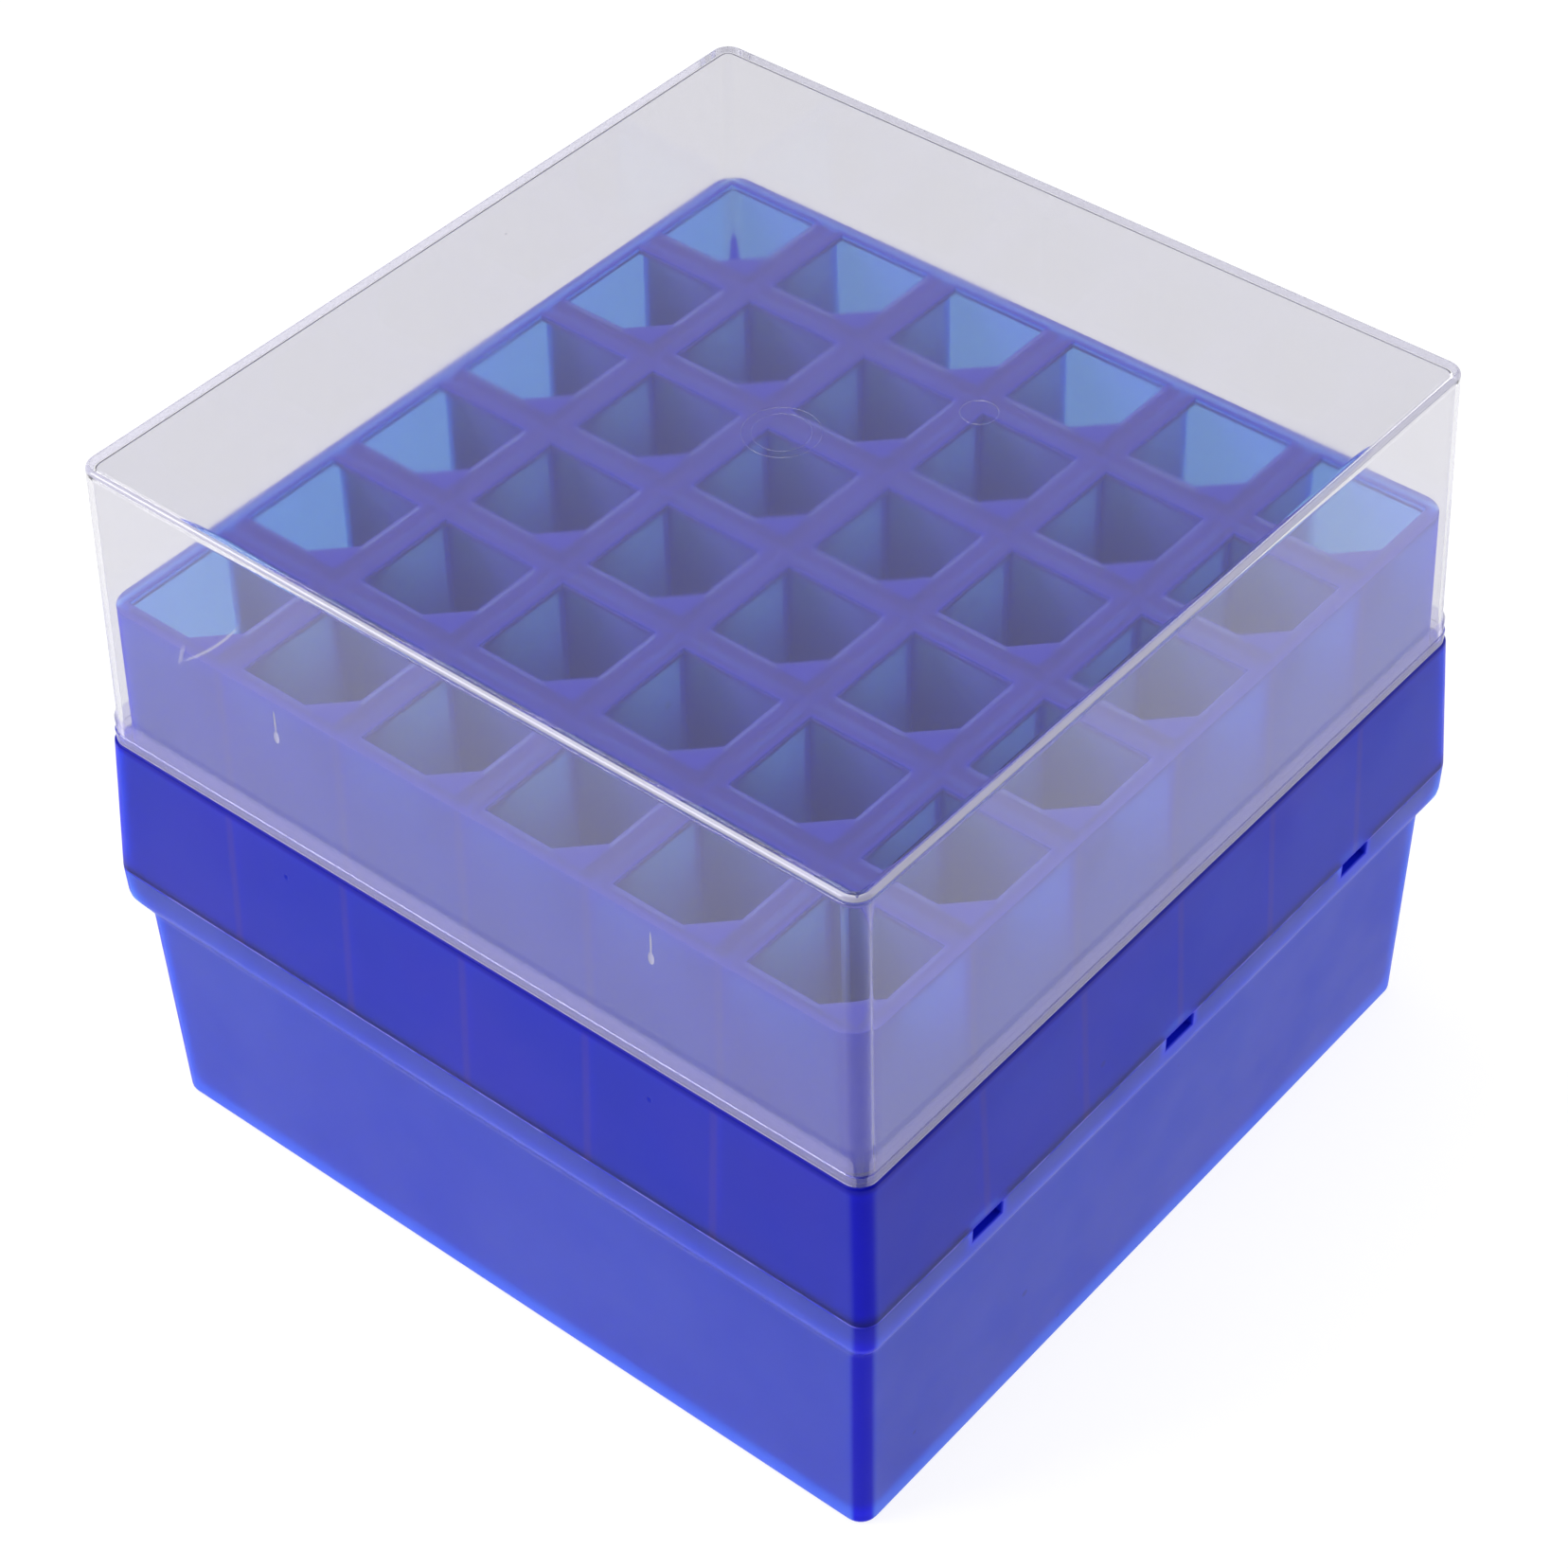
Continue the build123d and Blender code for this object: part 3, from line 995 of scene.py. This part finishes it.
def clear_surface(nodes, at):
    """Clear plastic with a slight milky haze, worn edges, a cloudy lip, fine scratches and dust."""
    waves = nodes.noise(at.position, 45.0, 2.0)
    grain = nodes.noise(at.position, 700.0, 2.0, 0.6)
    height = nodes.math("ADD", nodes.product(grain, 0.15), waves)
    pips = pip_marks(nodes, at)
    lip = cloudy_lip(nodes, at)
    dust = nodes.product(specks(nodes, at.position, 15.0, 0.4, 0.2), 0.5)
    matt = nodes.largest(rubbed_edges(nodes, at), pips, scratches(nodes, at), dust, lip)

    colour = nodes.mix(nodes.ramp(matt, 0.05, 0.4), CLEAR, RUBBED)
    colour = nodes.mix(nodes.ramp(lip, 0.05, 0.2), colour, LIP_LILAC)
    glass = nodes.add("ShaderNodeBsdfPrincipled")
    nodes.feed(glass.inputs["Base Color"], nodes.mix(pips, colour, PIP_WHITE))
    nodes.feed(glass.inputs["Transmission Weight"], nodes.math("SUBTRACT", 1.0 - HAZE, matt))
    nodes.feed(glass.inputs["IOR"], CLEAR_IOR)
    nodes.feed(glass.inputs["Roughness"], nodes.ramp(waves, 0.3, 0.7, 0.03, 0.07))
    facing = nodes.largest(at.facing_z, at.facing_x, at.facing_y)
    on_flats = nodes.ramp(facing, 0.97, 0.999, 0.0, 0.03)
    nodes.feed(glass.inputs["Normal"], nodes.bump(height, on_flats, TEXTURE_DEPTH * MM))
    return glass


def clear_plastic():
    """The lid's plastic. A ray that has bounced more than three times is taken as guided along inside
    the wall, and ends as an even pale glow. Light on its way to the other plastics passes straight
    through."""
    nodes = Nodes("clear_lid_plastic")
    glass = clear_surface(nodes, Place(nodes))

    rays = nodes.add("ShaderNodeLightPath")
    guided = nodes.add("ShaderNodeBsdfDiffuse")
    nodes.feed(guided.inputs["Color"], GUIDED_GLOW)
    seen = nodes.add("ShaderNodeMixShader")
    nodes.feed(seen.inputs[0], nodes.math("GREATER_THAN", rays.outputs["Ray Depth"], GUIDED_AFTER))
    nodes.feed(seen.inputs[1], glass.outputs[0])
    nodes.feed(seen.inputs[2], guided.outputs[0])

    clear = nodes.add("ShaderNodeBsdfTransparent")
    nodes.feed(clear.inputs["Color"], PASSING_LIGHT)
    lit = nodes.add("ShaderNodeMixShader")
    lighting = nodes.math("MAXIMUM", rays.outputs["Is Shadow Ray"], rays.outputs["Is Diffuse Ray"])
    nodes.feed(lit.inputs[0], lighting)
    nodes.feed(lit.inputs[1], seen.outputs[0])
    nodes.feed(lit.inputs[2], clear.outputs[0])
    nodes.material.use_transparent_shadow = True
    return nodes.show(lit.outputs[0])


# ---------------------------------------------------------------------------------------------------
# Stage, camera and light
# ---------------------------------------------------------------------------------------------------

WHITE = (1.0, 1.0, 1.0, 1.0)
TABLE_GREYS = ((0.14, 0.14, 0.14, 1.0), (0.17, 0.17, 0.17, 1.0))
TABLE_GLOW = 0.88
TABLE_HALF = 4.0                    # metres

CAMERA_AZIMUTH = 38.468             # degrees
CAMERA_ELEVATION = 43.02
CAMERA_DISTANCE = 572.0
CAMERA_AIM = (11.3, 9.45, 54.41)
CAMERA_LENS = 87.3
CAMERA_SHIFT = -0.0676

# Name, place and side in metres, and power in watts
SOFTBOXES = (
    ("overhead", (-0.25, -0.1, 1.3), 1.0, 14.0),
    ("back_right", (0.45, 0.5, 0.3), 0.7, 2.7),
    ("behind", (-0.68, 0.86, 1.12), 0.9, 1.3),
    ("left", (-0.75, -1.0, 0.85), 0.7, 15.5),
)

# The backdrop fades from its own brightness to the sky's between these sines of the elevation
BACKDROP_TOP = (0.12, 0.36)
BACKDROP_BRIGHTNESS = 0.8
SKY_BRIGHTNESS = 0.08


def make_camera():
    azimuth, elevation = math.radians(CAMERA_AZIMUTH), math.radians(CAMERA_ELEVATION)
    back = Vector((
        math.sin(azimuth) * math.cos(elevation),
        -math.cos(azimuth) * math.cos(elevation),
        math.sin(elevation),
    ))
    data = bpy.data.cameras.new("camera")
    data.sensor_width = 36.0
    data.lens = CAMERA_LENS
    data.shift_x = CAMERA_SHIFT
    data.clip_start = 0.02
    data.clip_end = 20.0
    camera = bpy.data.objects.new("camera", data)
    camera.location = (Vector(CAMERA_AIM) + back * CAMERA_DISTANCE) * MM
    camera.rotation_euler = back.to_track_quat("Z", "Y").to_euler()
    bpy.context.scene.collection.objects.link(camera)
    bpy.context.scene.camera = camera


def floor_paint():
    """White light table with a barely visible tooth."""
    nodes = Nodes("white_sweep")
    position = nodes.add("ShaderNodeTexCoord").outputs["Object"]
    tooth = nodes.noise(position, 400.0, 3.0, 0.6)
    shader = nodes.add("ShaderNodeBsdfPrincipled")
    paint = nodes.mix(tooth, *TABLE_GREYS)
    nodes.feed(shader.inputs["Base Color"], paint)
    nodes.feed(shader.inputs["Roughness"], 0.85)
    nodes.feed(shader.inputs["Emission Color"], WHITE)
    nodes.feed(shader.inputs["Emission Strength"], TABLE_GLOW)
    return nodes.show(shader.outputs[0])


def make_floor():
    shape = bmesh.new()
    bmesh.ops.create_grid(shape, x_segments=2, y_segments=2, size=TABLE_HALF)
    data = bpy.data.meshes.new("floor")
    shape.to_mesh(data)
    shape.free()
    data.materials.append(floor_paint())
    floor = bpy.data.objects.new("floor", data)
    floor.location.z = cad_box[0][2]
    bpy.context.scene.collection.objects.link(floor)


def softbox(name, place, size, power):
    """A large square area light, aimed at the middle of the box and hidden from the camera."""
    data = bpy.data.lights.new(name, "AREA")
    data.shape = "SQUARE"
    data.size = size
    data.energy = power
    lamp = bpy.data.objects.new(name, data)
    lamp.location = place
    aim = Vector((0, 0, TOP / 2 * MM)) - Vector(place)
    lamp.rotation_euler = aim.to_track_quat("-Z", "Y").to_euler()
    lamp.visible_camera = False
    bpy.context.scene.collection.objects.link(lamp)


def make_backdrop():
    """A pale backdrop that stands round the table and leaves the sky above it dim."""
    world = bpy.data.worlds.new("studio")
    world.use_nodes = True
    nodes, links = world.node_tree.nodes, world.node_tree.links
    background = nodes["Background"]
    background.inputs["Color"].default_value = WHITE
    split = nodes.new("ShaderNodeSeparateXYZ")
    links.new(nodes.new("ShaderNodeTexCoord").outputs["Generated"], split.inputs[0])
    fade = nodes.new("ShaderNodeMapRange")
    fade.interpolation_type = "SMOOTHSTEP"
    limits = (*BACKDROP_TOP, BACKDROP_BRIGHTNESS, SKY_BRIGHTNESS)
    for socket, value in zip(list(fade.inputs)[1:5], limits):
        socket.default_value = value
    links.new(split.outputs["Z"], fade.inputs[0])
    links.new(fade.outputs[0], background.inputs["Strength"])
    bpy.context.scene.world = world


def make_light():
    make_backdrop()
    for name, place, size, power in SOFTBOXES:
        softbox(name, place, size, power)
    bpy.context.scene.view_settings.view_transform = "Standard"


# ---------------------------------------------------------------------------------------------------
# The scene
# ---------------------------------------------------------------------------------------------------

make_camera()
make_floor()
make_light()

base_tub = make_base(base_plastic())
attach(base_tub, "base")
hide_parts("base")

rack_moulding = make_rack(rack_plastic())
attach(rack_moulding, "rack")
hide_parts(*[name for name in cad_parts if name.startswith("rack_")])

lid_cover = make_lid(clear_plastic())
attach(lid_cover, "lid")
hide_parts("lid")
